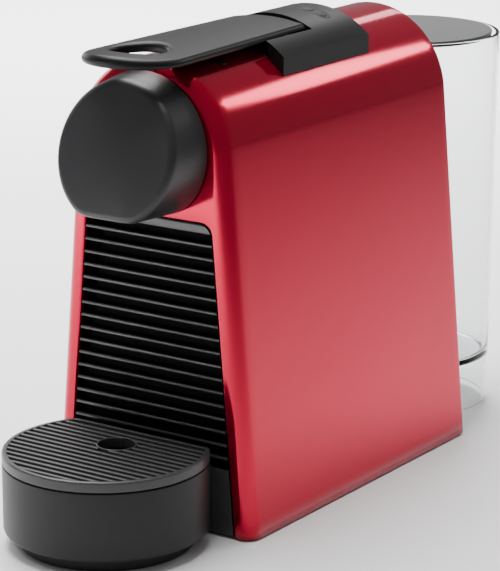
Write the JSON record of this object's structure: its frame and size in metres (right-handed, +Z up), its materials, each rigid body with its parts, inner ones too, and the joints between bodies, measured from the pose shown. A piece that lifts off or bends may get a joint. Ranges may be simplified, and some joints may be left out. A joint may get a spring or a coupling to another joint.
{
  "type": "pod coffee machine",
  "caption": "Compact pod coffee machine with an arched shell, a lifting lever, a slide-out capsule container with drip tray, and a lift-off water tank.",
  "frame": {"origin": "on the table, under the middle of the machine's bounding box", "axes": "+Z up, the front with the drip tray looks along -Y, the water tank is at +Y, +X is to the right when seen from the front"},
  "size_m": [0.1052, 0.3222, 0.2055],
  "materials": {
    "shell_red": "high gloss red moulded plastic",
    "black_satin": "satin black moulded plastic",
    "black_matte": "fine grained matt black plastic",
    "rubber": "soft black rubber",
    "inner_plastic": "grey glass filled plastic",
    "steel": "bright steel",
    "board": "circuit board with solder mask",
    "aluminium": "cast aluminium",
    "hose": "milky hose",
    "tank_clear": "clear plastic",
    "lid_grey": "smoked grey plastic"
  },
  "bodies": {
    "housing": {"body_shell": "shell_red", "hinge_cover": "black_satin", "nose_cover": "black_satin", "rear_panel": "black_matte", "base_plate": "black_matte", "foot_1": "rubber", "foot_2": "rubber", "foot_3": "rubber", "foot_4": "rubber", "brew_frame": "inner_plastic", "brew_head": "inner_plastic", "piercing_plate": "steel", "outlet_spout": "black_matte", "lever_pin": "steel", "idler_pin": "steel", "control_board": "board", "button_spring_1": "steel", "button_spring_2": "steel", "tank_dock": "black_matte", "dock_seal": "rubber", "pump": "steel", "pump_mount_1": "rubber", "pump_mount_2": "rubber", "thermoblock": "aluminium", "tank_hose": "hose", "flow_meter": "inner_plastic", "meter_hose": "hose", "pressure_hose": "hose", "cage_hose": "hose", "bay_wall": "black_matte", "guide_rail_left": "black_matte", "guide_rail_right": "black_matte", "mains_inlet": "rubber", "panel_screw_1": "steel", "panel_screw_2": "steel", "panel_screw_3": "steel", "panel_screw_4": "steel"},
    "lever": {"lever": "black_satin", "lever_gear": "inner_plastic"},
    "idler": {"idler_gear": "inner_plastic"},
    "cage": {"capsule_cage": "inner_plastic", "cage_rack": "inner_plastic"},
    "button_left": {"button_1": "black_matte"},
    "button_right": {"button_2": "black_matte"},
    "container": {"container_front": "black_satin", "capsule_container": "black_satin"},
    "tray": {"drip_tray_cup": "black_satin"},
    "grid": {"drip_grid": "black_satin"},
    "tank": {"tank": "tank_clear", "valve_cage": "inner_plastic", "valve_spring": "steel"},
    "valve": {"tank_valve": "inner_plastic"},
    "lid": {"tank_lid": "lid_grey"}
  },
  "joints": [
    {"name": "lever_hinge", "type": "hinge", "parent": "housing", "child": "lever", "pos_m": [0, -0.01, 0.197], "axis": [-1, 0, 0], "range_deg": [0, 90]},
    {"name": "idler_turn", "type": "hinge", "parent": "housing", "child": "idler", "pos_m": [0, -0.01, 0.173], "axis": [-1, 0, 0], "range_deg": [-305, 0]},
    {"name": "cage_slide", "type": "slide", "parent": "housing", "child": "cage", "axis": [0, 1, 0], "range_m": [0, 0.0292], "deforming": ["cage_hose"]},
    {"name": "button_left_press", "type": "slide", "parent": "housing", "child": "button_left", "axis": [0, 0, -1], "range_m": [0, 0.001], "stiffness_N_per_m": 600, "springref_m": -0.0006, "deforming": ["button_spring_1"]},
    {"name": "button_right_press", "type": "slide", "parent": "housing", "child": "button_right", "axis": [0, 0, -1], "range_m": [0, 0.001], "stiffness_N_per_m": 600, "springref_m": -0.0006, "deforming": ["button_spring_2"]},
    {"name": "container_slide", "type": "slide", "parent": "housing", "child": "container", "axis": [0, -1, 0], "range_m": [0, 0.12]},
    {"name": "tray_lift", "type": "slide", "parent": "container", "child": "tray", "axis": [0, 0, 1], "range_m": [0, 0.03]},
    {"name": "grid_lift", "type": "slide", "parent": "tray", "child": "grid", "axis": [0, 0, 1], "range_m": [0, 0.025]},
    {"name": "tank_lift", "type": "slide", "parent": "housing", "child": "tank", "axis": [0, 0, 1], "range_m": [0, 0.12]},
    {"name": "lid_lift", "type": "slide", "parent": "tank", "child": "lid", "axis": [0, 0, 1], "range_m": [0, 0.04]},
    {"name": "valve_open", "type": "slide", "parent": "tank", "child": "valve", "axis": [0, 0, 1], "range_m": [0, 0.003], "stiffness_N_per_m": 300, "springref_m": -0.0005, "deforming": ["valve_spring"]}
  ],
  "couplings": [
    {"joint": "idler_turn", "follows": "lever_hinge", "ratio": -3.3636},
    {"joint": "cage_slide", "follows": "lever_hinge", "m_per_rad": 0.0185}
  ]
}
